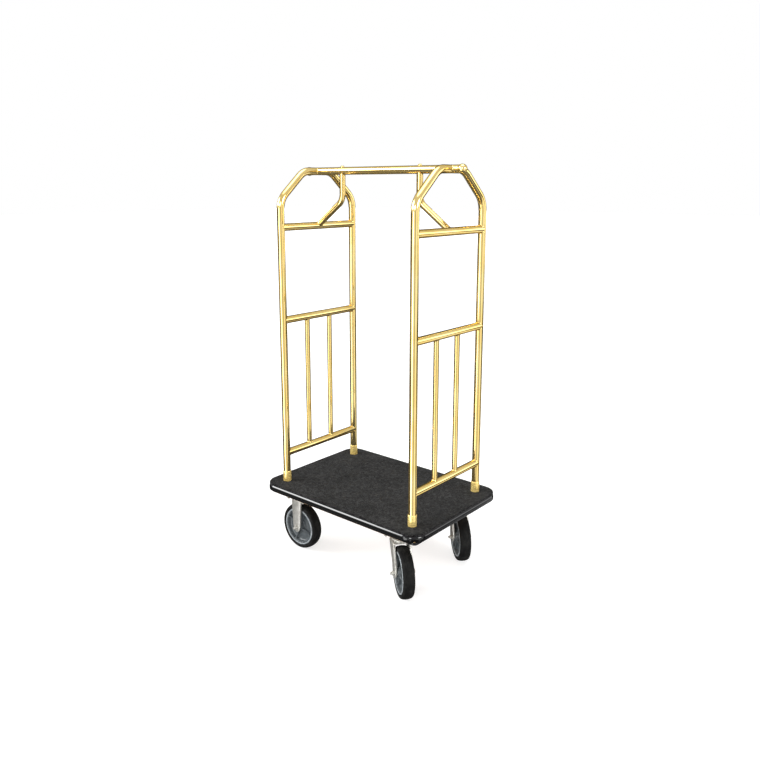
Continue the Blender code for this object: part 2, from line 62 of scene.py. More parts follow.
# ---------------------------------------- places, read from the frame
TUBE_R = 0.015875
FRAME_X = middle("right_hoop").x
LEG_Y = middle("right_ferrule_far").y
DECK_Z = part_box("deck_carpet")[1].z
CARPET_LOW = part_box("deck_carpet")[0].z
BOARD_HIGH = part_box("deck_board")[1].z
LEG_BOLT_HEAD = 0.0085
BOARD_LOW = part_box("left_leg_bolt_near")[0].z + LEG_BOLT_HEAD
LEG_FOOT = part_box("right_hoop")[0].z
RAIL_Z = middle("hanging_rail").z
CROSSBAR_Z = middle("left_crossbar").z
MIDDLE_RAIL_Z = middle("left_middle_rail").z
LOWER_RAIL_Z = middle("left_lower_rail").z
BAL_NEAR = middle("left_baluster_near").y
BAL_FAR = middle("left_baluster_far").y
BALUSTER_R = 0.0111
BRACE_R = 0.0127
BRACE_X = middle("right_brace_nut").x
BUMPER_LOW, BUMPER_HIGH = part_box("deck_bumper")
DECK_CORNER = 0.066
LIP_POINT_R = 0.018
WHEEL_R = 0.1016
PLATE_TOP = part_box("swivel_near_plate")[1].z
PLATE_T = 0.006
PLATE_X = (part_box("swivel_near_plate")[1].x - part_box("swivel_near_plate")[0].x) / 2.0
PLATE_Y = (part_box("swivel_near_plate")[1].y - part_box("swivel_near_plate")[0].y) / 2.0

# ---------------------------------------- bends, welds and small parts
HOOP_BEND_Z = 1.5205  # where a leg's line meets the shoulder's line
HOOP_TOP_Y = 0.0813  # where the shoulder's line meets the hoop's top
HOOP_BEND_R = 0.085
BRACE_BEND_Z = 1.517
BRACE_BEND_R = 0.055
RAIL_WELD = 0.0022
BRACE_WELD = 0.0021
BALUSTER_WELD = 0.0020
WELD_SINK = 0.0006
WELD_START, COPE_START = 0.06, 0.05  # how far back a point starts before it is slid on to its cylinder
# a weld's outline as (distance back from the joint, rise off the tube), both as shares of its size
WELD_OUTLINE = ((2.6, 0.0), (1.6, 0.10), (1.0, 0.27), (0.55, 0.52), (0.22, 0.82), (-0.05, 1.12))
BALL_R = 0.0185
BALL_FROM = 52.0  # degrees from the rail's side of the ball to where its collar ends
FERRULE_OVER = 1.012  # the ferrule's ring is drawn this much wider than its CAD solid
PILE_WAVE = 0.0005
PILE_WAVE_SCALE = 18.0
PILE_SINK = 0.0006
LIP_HEIGHT = 0.0095
CORNER_CUT = 0.2929  # the middle of a round corner of radius 1 lies this far in from both sides
SCREW_OUT = 0.0075

# ---------------------------------------- camera and studio light
CAMERA_AT = (1.972, -2.318, 1.576)
CAMERA_YAW = 40.35
CAMERA_DOWN = 11.32
CAMERA_LENS = 35.20
CAMERA_SHIFT = -0.0592
FLOOR_HALF = 40.0
FLOOR_TONE = 0.48
FLOOR_GLOW = 0.66
VIEW_SIDE = 49.65
WALL = 0.70
DARKEST = 0.05
SOFT_END = 0.08
# (low height, high height, light added below the low one, light added above the high one)
LAMP = (0.86, 0.95, 0.0, 2.6)
FLOOR_SIDE = (-0.72, -0.52, -0.60, 0.0)
# (degrees to the right of the viewing side, half-width at full strength, half-width where it ends,
#  strength, low end, high end); heights are those of a direction, and a strength below zero is a dark flag
STRIPS = [
    # in front and low: the light and dark lines on the upright tubes
    (-48.0, 7.0, 14.0, 4.4, -0.60, 0.10),
    (-24.0, 9.0, 20.0, 0.42, -0.60, 0.10),
    (50.0, 16.0, 30.0, 0.50, -0.60, 0.10),
    (4.0, 8.0, 16.0, -0.22, -0.60, 0.10),
    # in front and high: highlights along the bumper's rounded edge
    (-58.0, 5.0, 8.0, 11.0, 0.27, 0.40),
    (-15.0, 5.0, 8.0, 17.0, 0.24, 0.44),
    (50.0, 8.0, 11.0, 19.0, 0.20, 0.42),
    # flags beside and behind: dark edges
    (-126.0, 54.0, 66.0, -0.66, -0.55, 0.06),
    (130.0, 50.0, 58.0, -0.66, -0.55, 0.06),
    (180.0, 18.0, 28.0, -0.60, 0.04, 0.60),
    # far to the right and to the left: bright edges
    (116.0, 7.0, 11.0, 1.30, -0.54, -0.26),
    (127.0, 20.0, 28.0, 0.10, 0.16, 0.55),
    (104.0, 10.0, 15.0, 2.4, -0.12, 0.18),
    (-90.0, 9.0, 18.0, 17.0, 0.22, 0.58),
    (-86.0, 12.0, 18.0, 0.7, -0.20, -0.10),
]


# ---------------------------------------- node-graph helpers
def new_material(name):
    mat = bpy.data.materials.new(name)
    mat.use_nodes = True
    nodes = mat.node_tree.nodes
    shader = nodes["Principled BSDF"]
    return mat, nodes, mat.node_tree.links, shader


def object_coords(nodes, links, scale=(1.0, 1.0, 1.0)):
    coord = nodes.new("ShaderNodeTexCoord")
    mapping = nodes.new("ShaderNodeMapping")
    mapping.inputs["Scale"].default_value = scale
    links.new(coord.outputs["Object"], mapping.inputs["Vector"])
    return mapping.outputs["Vector"]


def noise_node(nodes, links, vector, scale, detail, rough):
    tex = nodes.new("ShaderNodeTexNoise")
    tex.inputs["Scale"].default_value = scale
    tex.inputs["Detail"].default_value = detail
    tex.inputs["Roughness"].default_value = rough
    links.new(vector, tex.inputs["Vector"])
    return tex.outputs["Fac"]


def cell_node(nodes, links, vector, scale):
    tex = nodes.new("ShaderNodeTexVoronoi")
    tex.inputs["Scale"].default_value = scale
    links.new(vector, tex.inputs["Vector"])
    return tex.outputs["Distance"]


def remap(nodes, links, value, low, high, out_low, out_high, smooth=False):
    node = nodes.new("ShaderNodeMapRange")
    if smooth:
        node.interpolation_type = "SMOOTHSTEP"
    node.inputs["From Min"].default_value = low
    node.inputs["From Max"].default_value = high
    node.inputs["To Min"].default_value = out_low
    node.inputs["To Max"].default_value = out_high
    links.new(value, node.inputs["Value"])
    return node.outputs["Result"]


def math_node(nodes, links, operation, a, b):
    node = nodes.new("ShaderNodeMath")
    node.operation = operation
    for k, value in enumerate((a, b)):
        if isinstance(value, (int, float)):
            node.inputs[k].default_value = value
        else:
            links.new(value, node.inputs[k])
    return node.outputs["Value"]


def mix_colours(nodes, links, factor, a, b):
    node = nodes.new("ShaderNodeMix")
    node.data_type = "RGBA"
    links.new(factor, node.inputs["Factor"])
    node.inputs[6].default_value = (*a, 1.0)
    node.inputs[7].default_value = (*b, 1.0)
    return node.outputs[2]


def mottle(nodes, links, shader, value, low, high, a, b):
    """Base colour that runs softly from a to b while value goes from low to high; returns how far it has gone."""
    tone = remap(nodes, links, value, low, high, 0.0, 1.0, True)
    links.new(mix_colours(nodes, links, tone, a, b), shader.inputs["Base Color"])
    return tone


def bump(nodes, links, shader, height, strength, distance):
    node = nodes.new("ShaderNodeBump")
    node.inputs["Strength"].default_value = strength
    node.inputs["Distance"].default_value = distance
    links.new(height, node.inputs["Height"])
    links.new(node.outputs["Normal"], shader.inputs["Normal"])


# ---------------------------------------- materials
def make_brass():
    """Polished, lacquered brass-coloured tube: faint tarnish clouds, buffing haze, hairlines."""
    mat, nodes, links, shader = new_material("brass_tube")
    at = object_coords(nodes, links)
    clouds = noise_node(nodes, links, at, 7.0, 3.0, 0.55)
    mottle(nodes, links, shader, clouds, 0.32, 0.70, (0.90, 0.650, 0.225), (0.96, 0.752, 0.325))
    haze = noise_node(nodes, links, at, 34.0, 3.0, 0.5)
    links.new(remap(nodes, links, haze, 0.3, 0.75, 0.06, 0.12), shader.inputs["Roughness"])
    lines = noise_node(nodes, links, object_coords(nodes, links, (500.0, 500.0, 14.0)), 1.0, 2.0, 0.5)
    bump(nodes, links, shader, lines, 0.0015, 0.0002)
    shader.inputs["Metallic"].default_value = 0.95
    shader.inputs["Specular Tint"].default_value = (0.12, 0.06, 0.02, 1.0)
    shader.inputs["Coat Weight"].default_value = 0.12
    shader.inputs["Coat Roughness"].default_value = 0.05
    return mat


def make_satin_brass():
    """Satin brass-coloured ferrules: brighter and softer than the polished tube, brushed around."""
    mat, nodes, links, shader = new_material("brass_satin")
    at = object_coords(nodes, links)
    clouds = noise_node(nodes, links, at, 18.0, 3.0, 0.55)
    mottle(nodes, links, shader, clouds, 0.32, 0.70, (0.94, 0.67, 0.205), (0.99, 0.77, 0.290))
    lines = noise_node(nodes, links, object_coords(nodes, links, (60.0, 60.0, 900.0)), 1.0, 2.0, 0.5)
    links.new(remap(nodes, links, lines, 0.3, 0.75, 0.20, 0.32), shader.inputs["Roughness"])
    bump(nodes, links, shader, lines, 0.03, 0.0002)
    shader.inputs["Metallic"].default_value = 0.62
    return mat


def make_dull_brass():
    """Tarnished brass of the screw in the bumper's lip."""
    mat, nodes, links, shader = new_material("brass_dull")
    at = object_coords(nodes, links)
    tarnish = noise_node(nodes, links, at, 400.0, 3.0, 0.6)
    mottle(nodes, links, shader, tarnish, 0.3, 0.7, (0.10, 0.065, 0.030), (0.20, 0.135, 0.065))
    shader.inputs["Metallic"].default_value = 0.7
    shader.inputs["Roughness"].default_value = 0.45
    return mat


def make_zinc():
    """Bright zinc plate on pressed steel: soft mottling, handling marks."""
    mat, nodes, links, shader = new_material("zinc_steel")
    at = object_coords(nodes, links)
    patches = noise_node(nodes, links, at, 70.0, 4.0, 0.6)
    mottle(nodes, links, shader, patches, 0.3, 0.7, (0.40, 0.39, 0.355), (0.57, 0.56, 0.525))
    haze = noise_node(nodes, links, at, 240.0, 3.0, 0.6)
    links.new(remap(nodes, links, haze, 0.3, 0.7, 0.34, 0.50), shader.inputs["Roughness"])
    bump(nodes, links, shader, haze, 0.10, 0.0004)
    shader.inputs["Metallic"].default_value = 0.80
    return mat


def make_rubber():
    """Black tread rubber: matt, with moulding grain and a little floor dust on it."""
    mat, nodes, links, shader = new_material("tyre_rubber")
    at = object_coords(nodes, links)
    dust = noise_node(nodes, links, at, 38.0, 5.0, 0.65)
    mottle(nodes, links, shader, dust, 0.42, 0.78, (0.0055, 0.0055, 0.0055), (0.0180, 0.0180, 0.0168))
    grain = noise_node(nodes, links, at, 900.0, 2.0, 0.5)
    links.new(remap(nodes, links, dust, 0.3, 0.8, 0.48, 0.72), shader.inputs["Roughness"])
    bump(nodes, links, shader, grain, 0.25, 0.0004)
    shader.inputs["Specular IOR Level"].default_value = 0.08
    return mat


def make_hub_plastic():
    """Grey moulded hub plastic: low sheen, slight flow marks."""
    mat, nodes, links, shader = new_material("hub_plastic")
    at = object_coords(nodes, links)
    flow = noise_node(nodes, links, at, 30.0, 3.0, 0.55)
    mottle(nodes, links, shader, flow, 0.3, 0.7, (0.046, 0.054, 0.059), (0.080, 0.090, 0.096))
    grain = noise_node(nodes, links, at, 700.0, 2.0, 0.5)
    links.new(remap(nodes, links, flow, 0.3, 0.7, 0.34, 0.46), shader.inputs["Roughness"])
    bump(nodes, links, shader, grain, 0.08, 0.0003)
    return mat


def make_painted_highlight_rim():
    """The rim lip of a hub, in a paler copy of the hub plastic that paints a highlight ring on it."""
    mat, nodes, links, shader = new_material("painted_highlight_rim")
    at = object_coords(nodes, links)
    rim_mottle = noise_node(nodes, links, at, 60.0, 3.0, 0.6)
    # the lip's paler grey is a painted highlight, with random mottling across it
    mottle(nodes, links, shader, rim_mottle, 0.3, 0.7, (0.17, 0.188, 0.20), (0.30, 0.325, 0.34))
    links.new(remap(nodes, links, rim_mottle, 0.3, 0.7, 0.26, 0.38), shader.inputs["Roughness"])
    bump(nodes, links, shader, noise_node(nodes, links, at, 600.0, 2.0, 0.5), 0.06, 0.0003)
    return mat


def make_vinyl():
    """Glossy black vinyl edge strip: slow waviness in its shine, a few scuffs."""
    mat, nodes, links, shader = new_material("bumper_vinyl")
    at = object_coords(nodes, links)
    scuffs = noise_node(nodes, links, at, 130.0, 6.0, 0.7)
    mask = mottle(nodes, links, shader, scuffs, 0.60, 0.78, (0.0022, 0.0022, 0.0024), (0.0100, 0.0100, 0.0090))
    links.new(remap(nodes, links, mask, 0.0, 1.0, 0.06, 0.24), shader.inputs["Roughness"])
    waves = noise_node(nodes, links, at, 26.0, 2.0, 0.5)
    bump(nodes, links, shader, waves, 0.10, 0.002)
    shader.inputs["Specular IOR Level"].default_value = 0.46
    return mat


def make_carpet():
    """Dark grey cut-pile carpet: tufts, shading where the pile lies over, loose lighter fibres."""
    mat, nodes, links, shader = new_material("carpet_pile")
    at = object_coords(nodes, links)
    tufts = cell_node(nodes, links, at, 330.0)
    tuft_tone = remap(nodes, links, tufts, 0.0, 0.75, 1.0, 0.0)
    fibre = noise_node(nodes, links, at, 950.0, 3.0, 0.7)
    shade = noise_node(nodes, links, at, 85.0, 4.0, 0.70)
    lay = noise_node(nodes, links, at, 7.0, 3.0, 0.5)
    mix = math_node(nodes, links, "MULTIPLY", tuft_tone, 0.26)
    for layer, share in ((fibre, 0.22), (shade, 0.62), (lay, 0.18)):
        mix = math_node(nodes, links, "ADD", mix, math_node(nodes, links, "MULTIPLY", layer, share))
    tone = remap(nodes, links, mix, 0.53, 0.75, 0.0, 1.0)
    grey = mix_colours(nodes, links, tone, (0.0004, 0.0004, 0.0005), (0.0345, 0.0345, 0.0345))
    links.new(grey, shader.inputs["Base Color"])
    height = math_node(nodes, links, "ADD", tuft_tone, math_node(nodes, links, "MULTIPLY", fibre, 0.8))
    bump(nodes, links, shader, height, 0.75, 0.0016)
    shader.inputs["Roughness"].default_value = 0.95
    shader.inputs["Specular IOR Level"].default_value = 0.08
    shader.inputs["Sheen Weight"].default_value = 0.05
    shader.inputs["Sheen Roughness"].default_value = 0.5
    return mat


def make_painted_shadow_seam():
    """The raw latex edge of the carpet where it meets the bumper, coloured near black to paint the shadow in the
    joint.
    """
    mat, nodes, links, shader = new_material("carpet_painted_shadow_seam")
    at = object_coords(nodes, links)
    stains_and_shadow = noise_node(nodes, links, at, 90.0, 3.0, 0.6)
    # dark reddish tones: the raw edge's own colour, darkened as painted shadow
    mottle(nodes, links, shader, stains_and_shadow, 0.3, 0.7, (0.010, 0.007, 0.006), (0.048, 0.026, 0.021))
    shader.inputs["Roughness"].default_value = 0.85
    bump(nodes, links, shader, noise_node(nodes, links, at, 900.0, 2.0, 0.5), 0.5, 0.0005)
    return mat


def make_plywood():
    """Sealed plywood of the deck board, seen from below."""
    mat, nodes, links, shader = new_material("deck_plywood")
    at = object_coords(nodes, links, (1.0, 14.0, 14.0))
    grain = noise_node(nodes, links, at, 6.0, 6.0, 0.6)
    mottle(nodes, links, shader, grain, 0.30, 0.70, (0.20, 0.115, 0.055), (0.42, 0.27, 0.14))
    links.new(remap(nodes, links, grain, 0.3, 0.7, 0.42, 0.60), shader.inputs["Roughness"])
    bump(nodes, links, shader, grain, 0.15, 0.0008)
    return mat


BRASS = make_brass()
SATIN_BRASS = make_satin_brass()
DULL_BRASS = make_dull_brass()
ZINC = make_zinc()
RUBBER = make_rubber()
HUB = make_hub_plastic()
PAINTED_HIGHLIGHT_RIM = make_painted_highlight_rim()
VINYL = make_vinyl()
CARPET = make_carpet()
PLYWOOD = make_plywood()
PAINTED_SHADOW_SEAM = make_painted_shadow_seam()


# ---------------------------------------- mesh helpers
class Shape:
    """Points and faces that become one object."""

    def __init__(self):
        self.verts = []
        self.faces = []

    def add(self, verts, faces, matrix=None):
        base = len(self.verts)
        for v in verts:
            self.verts.append(matrix @ Vector(v) if matrix else Vector(v))
        for face in faces:
            self.faces.append(tuple(base + i for i in face))


def make(name, shape, mat, body, stands_for=(), sharp=38.0):
    """One visible piece that rides a body; stands_for lists the CAD nodes it replaces."""
    mesh = bpy.data.meshes.new(name)
    mesh.from_pydata([tuple(v) for v in shape.verts], [], shape.faces)
    bm = bmesh.new()
    bm.from_mesh(mesh)
    bmesh.ops.recalc_face_normals(bm, faces=bm.faces)
    bm.to_mesh(mesh)
    bm.free()
    mesh.materials.append(mat)
    mesh.shade_smooth()
    mesh.set_sharp_from_angle(angle=math.radians(sharp))
    obj = bpy.data.objects.new(name, mesh)
    bpy.context.scene.collection.objects.link(obj)
    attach(obj, body)
    if stands_for:
        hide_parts(*stands_for)
    return obj


def quads(a, b, n):
    """Faces between two rings of n points that start at a and b."""
    return [(a + i, a + (i + 1) % n, b + (i + 1) % n, b + i) for i in range(n)]


def skin(rings, closed=False):
    """Faces over a list of equal rings; closed joins the last ring to the first, or else both ends are capped."""
    n = len(rings[0])
    verts = [p for ring in rings for p in ring]
    faces = []
    for k in range(len(rings) - 1):
        faces += quads(k * n, (k + 1) * n, n)
    if closed:
        faces += quads((len(rings) - 1) * n, 0, n)
    else:
        faces.append(tuple(reversed(range(n))))
        faces.append(tuple(range((len(rings) - 1) * n, len(rings) * n)))
    return verts, faces


def round_corners(points, radius, segs):
    """A path of straight runs with each inner corner turned into an arc."""
    out = [points[0]]
    for k in range(1, len(points) - 1):
        p = points[k]
        d0 = (points[k - 1] - p).normalized()
        d1 = (points[k + 1] - p).normalized()
        half = d0.angle(d1) / 2.0
        cut = radius / math.tan(half)
        centre = p + (d0 + d1).normalized() * (radius / math.sin(half))
        start = p + d0 * cut - centre
        axis = start.cross(p + d1 * cut - centre).normalized()
        sweep = math.pi - 2.0 * half
        for i in range(segs + 1):
            out.append(centre + Matrix.Rotation(sweep * i / segs, 3, axis) @ start)
    out.append(points[-1])
    return out


def cope(point, direction, target):
    """Slide a point along direction on to the near side of a cylinder (centre, axis, radius)."""
    centre, axis, radius = target
    u = direction - axis * direction.dot(axis)
    w = point - centre
    w = w - axis * w.dot(axis)
    a, b, c = u.dot(u), 2.0 * u.dot(w), w.dot(w) - radius * radius
    root = math.sqrt(max(b * b - 4.0 * a * c, 0.0))
    return point + direction * ((-b - root) / (2.0 * a))


def weld_rings(centre_end, direction, radials, radius, target, size, seed):
    """Rings that flare a tube's end into a smoothed fillet weld on the tube it meets.

    They run from the plain tube to the joint. The fillet thins out where the two tubes run tangent.
    """
    axis_p, axis, r = target
    inner = (axis_p, axis, r - WELD_SINK)
    rings = []
    for back, out in WELD_OUTLINE:
        ring = []
        for i, radial in enumerate(radials):
            p = centre_end + radial * radius - direction * WELD_START
            hit = cope(p, direction, inner)
            to_axis = hit - axis_p
            to_axis = to_axis - axis * to_axis.dot(axis)
            steep = abs(to_axis.normalized().dot(direction))
            ripple = 1.0 + 0.10 * noise.noise(Vector((i * 0.9 + seed, back, seed * 1.7)))
            amount = size * (0.20 + 0.80 * steep) * ripple
            ring.append(hit - direction * (amount * back) + radial * (amount * out))
        rings.append(ring)
    return rings


def tube_shape(points, side, radius, sides, start=None, end=None, weld=0.0, seed=0.0):
    """A tube along a path in the plane across side; start and end are cylinders that it is welded to."""
    rings = []
    last = len(points) - 1
    for k, p in enumerate(points):
        into = (p - points[k - 1]).normalized() if k > 0 else (points[1] - p).normalized()
        out = (points[k + 1] - p).normalized() if k < last else into
        tangent = (into + out).normalized()
        normal = side.cross(tangent).normalized()
        radials = []
        for i in range(sides):
            t = 2.0 * math.pi * (i + 0.5) / sides
            radials.append(side * math.cos(t) + normal * math.sin(t))
        if k == 0 and start:
            back = weld_rings(p, (points[0] - points[1]).normalized(), radials, radius, start, weld, seed)
            rings += reversed(back)
        elif k == last and end:
            rings += weld_rings(p, tangent, radials, radius, end, weld, seed + 5.0)
        else:
            rings.append([p + r * radius for r in radials])
    shape = Shape()
    shape.add(*skin(rings))
    return shape


def frame_for(axis):
    """The unit axis and two directions square to it."""
    axis = axis.normalized()
    if abs(axis.z) > 0.9:
        u = X_AXIS
    else:
        u = Z_AXIS - axis * axis.z
        u.normalize()
    return axis, u, axis.cross(u)


def lathe(profile, segs, axis, centre, closed=False, cope_to=()):
    """Turn (radius, height) points about an axis; cope_to lists (ring's index, direction, cylinder)."""
    axis, u, v = frame_for(Vector(axis))
    rings = []
    for radius, height in profile:
        ring = []
        for i in range(segs):
            t = 2.0 * math.pi * (i + 0.5) / segs
            ring.append(centre + axis * height + u * (radius * math.cos(t)) + v * (radius * math.sin(t)))
        rings.append(ring)
    for index, direction, target in cope_to:
        rings[index] = [cope(p - direction * COPE_START, direction, target) for p in rings[index]]
    return skin(rings, closed)


def soften(profile, radius, segs=3, closed=False):
    """Round the corners of a 2-D profile, each by as much as its two sides allow."""
    out = []
    n = len(profile)
    for k in range(n):
        if not closed and k in (0, n - 1):
            out.append(profile[k])
            continue
        p = Vector(profile[k])
        a, b = Vector(profile[k - 1]) - p, Vector(profile[(k + 1) % n]) - p
        cut = min(radius, a.length * 0.45, b.length * 0.45)
        p0, p1 = p + a.normalized() * cut, p + b.normalized() * cut
        for i in range(segs + 1):
            t = i / segs
            q = p0 * (1 - t) ** 2 + p * (2 * t * (1 - t)) + p1 * t ** 2
            out.append((q.x, q.y))
    return out


def rounded_rect(half_x, half_y, radius, segs, straight=1, last_radius=None):
    """Outline of a rounded rectangle.

    straight is the number of parts each side is cut into, last_radius the radius of the +X -Y corner alone.
    """
    out = []
    last = radius if last_radius is None else last_radius
    corners = ((1, 1, 0.0, radius), (-1, 1, 0.5, radius), (-1, -1, 1.0, radius), (1, -1, 1.5, last))
    for sx, sy, turn, r in corners:
        cx, cy = sx * (half_x - r), sy * (half_y - r)
        for i in range(segs + 1):
            t = math.pi * (turn + 0.5 * i / segs)
            out.append((cx + r * math.cos(t), cy + r * math.sin(t)))
    if straight > 1:
        full = []
        for k, p in enumerate(out):
            q = out[(k + 1) % len(out)]
            full.append(p)
            if k % (segs + 1) == segs:
                full += [(p[0] + (q[0] - p[0]) * j / straight, p[1] + (q[1] - p[1]) * j / straight)
                         for j in range(1, straight)]
        out = full
    return out


def rect_ring(z, *outline):
    """A rounded rectangle laid level at height z."""
    return [Vector((a, b, z)) for a, b in rounded_rect(*outline)]


def hex_block(shape, centre, axis, across, low, high, bore=0.0, chamfer=0.0011, segs=48):
    """A hexagonal head or nut from low to high along axis, its corners chamfered at the high end."""
    axis, u, v = frame_for(Vector(axis))
    corner = across / 2.0 / math.cos(math.pi / 6.0)
    round_r = across / 2.0 * 0.97

    def flat_radius(t):
        k = (t % (math.pi / 3.0)) - math.pi / 6.0
        return across / 2.0 / math.cos(k)

    rings = []
    for z, limit in ((low, corner), (high - chamfer, corner), (high - chamfer * 0.5, (round_r + corner) / 2.0),
                     (high, round_r)):
        ring = []
        for i in range(segs):
            t = 2.0 * math.pi * i / segs
            r = min(flat_radius(t), limit)
            ring.append(centre + axis * z + u * (r * math.cos(t)) + v * (r * math.sin(t)))
        rings.append(ring)
    if bore:
        for z in (high, low):
            rings.append([centre + axis * z + u * (bore * math.cos(2 * math.pi * i / segs))
                          + v * (bore * math.sin(2 * math.pi * i / segs)) for i in range(segs)])
        shape.add(*skin(rings, closed=True))
    else:
        shape.add(*skin(rings))


# ---------------------------------------- end frames
def end_frame(side_name, x, seed):
    """A hoop with its three cross rails and two balusters, and each leg's ferrule and bolt."""
    corners = [Vector((x, -LEG_Y, LEG_FOOT)), Vector((x, -LEG_Y, HOOP_BEND_Z)), Vector((x, -HOOP_TOP_Y, RAIL_Z)),
               Vector((x, HOOP_TOP_Y, RAIL_Z)), Vector((x, LEG_Y, HOOP_BEND_Z)), Vector((x, LEG_Y, LEG_FOOT))]
    path = round_corners(corners, HOOP_BEND_R, 16)
    make(side_name + "_hoop_tube", tube_shape(path, X_AXIS, TUBE_R, 48), BRASS, "chassis", [side_name + "_hoop"])
    near_leg = (Vector((x, -LEG_Y, 0.0)), Z_AXIS, TUBE_R)
    far_leg = (Vector((x, LEG_Y, 0.0)), Z_AXIS, TUBE_R)
    cross_rails = (("_crossbar", CROSSBAR_Z), ("_middle_rail", MIDDLE_RAIL_Z), ("_lower_rail", LOWER_RAIL_Z))
    for k, (piece, z) in enumerate(cross_rails):
        ends = [Vector((x, -LEG_Y, z)), Vector((x, 0.0, z)), Vector((x, LEG_Y, z))]
        shape = tube_shape(ends, X_AXIS, TUBE_R, 44, near_leg, far_leg, RAIL_WELD, seed + k)
        make(side_name + piece + "_tube", shape, BRASS, "chassis", [side_name + piece])
    low_rail = (Vector((x, 0.0, LOWER_RAIL_Z)), Y_AXIS, TUBE_R)
    mid_rail = (Vector((x, 0.0, MIDDLE_RAIL_Z)), Y_AXIS, TUBE_R)
    between = 0.7  # any height between the two rails
    for label, y in (("near", BAL_NEAR), ("far", BAL_FAR)):
        ends = [Vector((x, y, LOWER_RAIL_Z)), Vector((x, y, between)), Vector((x, y, MIDDLE_RAIL_Z))]
        shape = tube_shape(ends, X_AXIS, BALUSTER_R, 36, low_rail, mid_rail, BALUSTER_WELD, seed + y * 30.0)
        make(f"{side_name}_baluster_{label}_tube", shape, BRASS, "chassis", [f"{side_name}_baluster_{label}"])
    for label, y in (("near", -LEG_Y), ("far", LEG_Y)):
        low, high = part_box(f"{side_name}_ferrule_{label}")
        radius = (high.x - low.x) / 2.0 * FERRULE_OVER
        h = high.z - low.z
        profile = [(TUBE_R - 0.0005, 0.0), (radius - 0.0002, 0.0), (radius, 0.0012), (radius, h - 0.0016),
                   (radius - 0.0008, h - 0.0003), (radius - 0.0016, h), (TUBE_R - 0.0005, h + 0.0004)]
        shape = Shape()
        shape.add(*lathe(soften(profile, 0.0008, 2), 48, Z_AXIS, Vector((x, y, low.z)), True))
        make(f"{side_name}_ferrule_{label}_ring", shape, SATIN_BRASS, "chassis", [f"{side_name}_ferrule_{label}"])
        bolt = Shape()
        at = Vector((x, y, BOARD_LOW))
        hex_block(bolt, at, -Z_AXIS, 0.0165, 0.0020, LEG_BOLT_HEAD)
        washer = [(0.0, 0.0), (0.0120, 0.0), (0.0120, 0.0019), (0.0, 0.0019)]
        bolt.add(*lathe(soften(washer, 0.0004), 32, -Z_AXIS, at))
        board = BOARD_HIGH - BOARD_LOW
        bolt.add(*lathe([(0.0050, 0.0), (0.0050, board + 0.0195), (0.0042, board + 0.020)], 24, Z_AXIS, at))
        make(f"{side_name}_leg_bolt_{label}_hex", bolt, ZINC, "chassis", [f"{side_name}_leg_bolt_{label}"])


# ---------------------------------------- hanging rail, its ends and the braces
def rail_parts():
    """The rail between the hoops, its ball ends outside them, and the braces with their acorn nuts."""
    hoops = {s: (Vector((s * FRAME_X, 0.0, RAIL_Z)), Y_AXIS, TUBE_R) for s in (-1.0, 1.0)}
    ends = [Vector((-FRAME_X, 0.0, RAIL_Z)), Vector((0.0, 0.0, RAIL_Z)), Vector((FRAME_X, 0.0, RAIL_Z))]
    shape = tube_shape(ends, Y_AXIS, TUBE_R, 48, hoops[-1.0], hoops[1.0], RAIL_WELD, 3.0)
    make("hanging_rail_tube", shape, BRASS, "chassis", ["hanging_rail"])
    for name, sign in (("left_rail_end", -1.0), ("right_rail_end", 1.0)):
        low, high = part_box(name)
        tip = max(abs(low.x), abs(high.x)) - FRAME_X
        centre_h = tip - BALL_R
        stub = [Vector((sign * (FRAME_X + centre_h - 0.013), 0.0, RAIL_Z)),
                Vector((sign * (FRAME_X + 0.020), 0.0, RAIL_Z)), Vector((sign * FRAME_X, 0.0, RAIL_Z))]
        shape = tube_shape(stub, Y_AXIS, TUBE_R, 44, None, hoops[sign], RAIL_WELD, 7.0 + sign)
        collar = TUBE_R + 0.0006
        profile = [(0.0, centre_h - 0.0150), (collar, centre_h - 0.0150), (collar, centre_h - 0.0125),
                   (0.0146, centre_h - 0.0115)]
        for i in range(1, 25):
            t = math.radians(BALL_FROM + (180.0 - BALL_FROM) * i / 24.0)
            profile.append((max(BALL_R * math.sin(t), 0.00005), centre_h - BALL_R * math.cos(t)))
        shape.add(*lathe(profile, 44, Vector((sign, 0.0, 0.0)), Vector((sign * FRAME_X, 0.0, RAIL_Z))))
        make(name + "_ball", shape, BRASS, "chassis", [name])
    rail = (Vector((0.0, 0.0, RAIL_Z)), X_AXIS, TUBE_R)
    for side, sign in (("left", -1.0), ("right", 1.0)):
        bar = (Vector((sign * FRAME_X, 0.0, CROSSBAR_Z)), Y_AXIS, TUBE_R)
        corners = [Vector((sign * BRACE_X, 0.0, RAIL_Z)), Vector((sign * BRACE_X, 0.0, BRACE_BEND_Z)),
                   Vector((sign * FRAME_X, 0.0, CROSSBAR_Z))]
        path = round_corners(corners, BRACE_BEND_R, 14)
        shape = tube_shape(path, Y_AXIS, BRACE_R, 40, rail, bar, BRACE_WELD, 11.0 + sign)
        make(side + "_brace_tube", shape, BRASS, "chassis", [side + "_brace"])
        nut = Shape()
        top = Vector((sign * BRACE_X, 0.0, RAIL_Z))
        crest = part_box(side + "_brace_nut")[1].z - RAIL_Z
        saddle = [(0.0, 0.0150), (0.0092, 0.0150), (0.0092, 0.0166), (0.0086, 0.0171), (0.0, 0.0171)]
        nut.add(*lathe(saddle, 40, Z_AXIS, top, False, [(0, -Z_AXIS, (rail[0], rail[1], TUBE_R - 0.0005)),
                                                       (1, -Z_AXIS, (rail[0], rail[1], TUBE_R - 0.0003))]))
        hex_block(nut, top, Z_AXIS, 0.0140, 0.0169, crest - 0.0026, 0.0, 0.0005)
        dome = [(max(0.0064 * math.cos(math.radians(a)), 0.00005),
                 crest - 0.0030 + 0.0030 * math.sin(math.radians(a))) for a in range(0, 91, 9)]
        nut.add(*lathe(dome, 36, Z_AXIS, top))
        make(side + "_brace_acorn_nut", nut, BRASS, "chassis", [side + "_brace_nut"])


